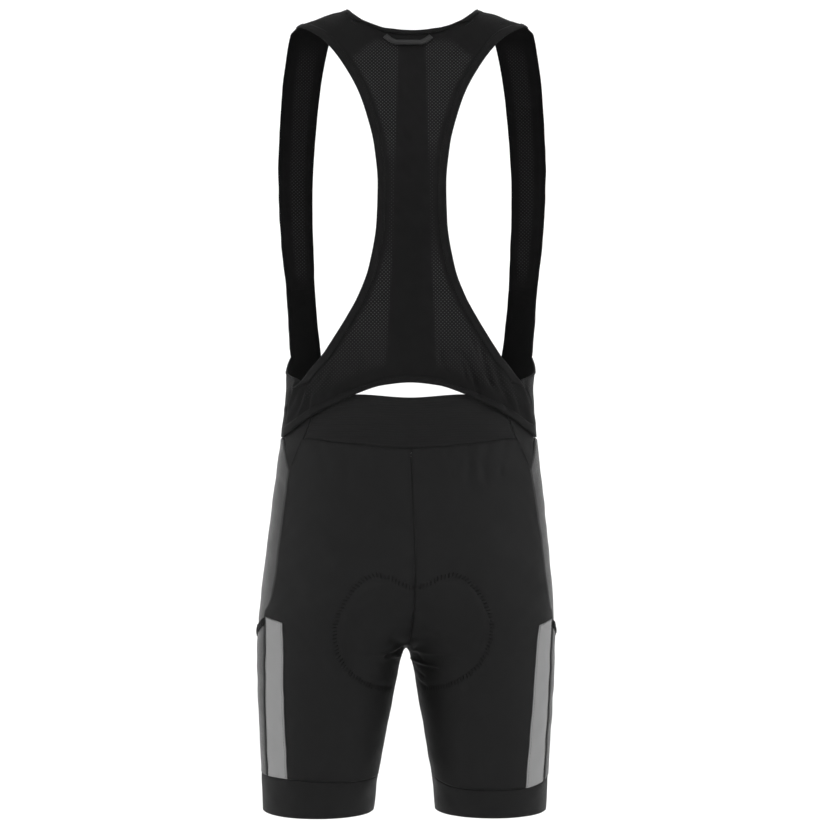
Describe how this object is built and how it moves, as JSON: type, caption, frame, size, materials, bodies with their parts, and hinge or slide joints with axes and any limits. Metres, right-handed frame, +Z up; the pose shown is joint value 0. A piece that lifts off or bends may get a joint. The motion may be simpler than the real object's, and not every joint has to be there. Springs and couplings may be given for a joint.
{
  "type": "cycling bib shorts",
  "caption": "Close-fitting cycling bib shorts with over-shoulder straps, a knit back bib, side panels, thigh pockets and leg grippers, worn and hollow.",
  "frame": {"origin": "midway between the two strap tops, where the wearer's shoulders hold the garment up", "axes": "+Z up; the garment's back faces -Y, the wearer's front faces +Y, and +X is the wearer's right"},
  "size_m": [0.3362, 0.2274, 0.8952],
  "materials": {
    "main_knit": "matt black warp knit with a slight sheen",
    "mesh_knit": "black open mesh knit",
    "ribbed_elastic": "black elastic with fine level ribs",
    "side_knit": "dark grey knit with a satin sheen",
    "stripe_panel": "mid grey smooth knit",
    "gripper_band": "black smooth power band",
    "binding": "black flat elastic binding"
  },
  "bodies": {
    "root": {"back_bib": "mesh_knit", "strap_left": "mesh_knit", "strap_right": "mesh_knit", "front_bib_left": "main_knit", "front_bib_right": "main_knit", "waistband_back": "ribbed_elastic", "wing_left": "main_knit", "wing_right": "main_knit", "back_left": "main_knit", "back_right": "main_knit", "side_left": "side_knit", "side_right": "side_knit", "front_left": "main_knit", "front_right": "main_knit", "stripe_left": "stripe_panel", "stripe_right": "stripe_panel", "pocket_left": "side_knit", "pocket_right": "side_knit", "pocket_elastic_left": "binding", "pocket_elastic_right": "binding", "gripper_left": "gripper_band", "gripper_right": "gripper_band", "armhole_binding_back_left": "binding", "armhole_binding_back_right": "binding", "armhole_binding_front_left": "binding", "armhole_binding_front_right": "binding", "neck_binding": "binding", "arch_binding": "binding", "scoop_binding": "binding", "hang_loop": "binding"}
  },
  "joints": []
}
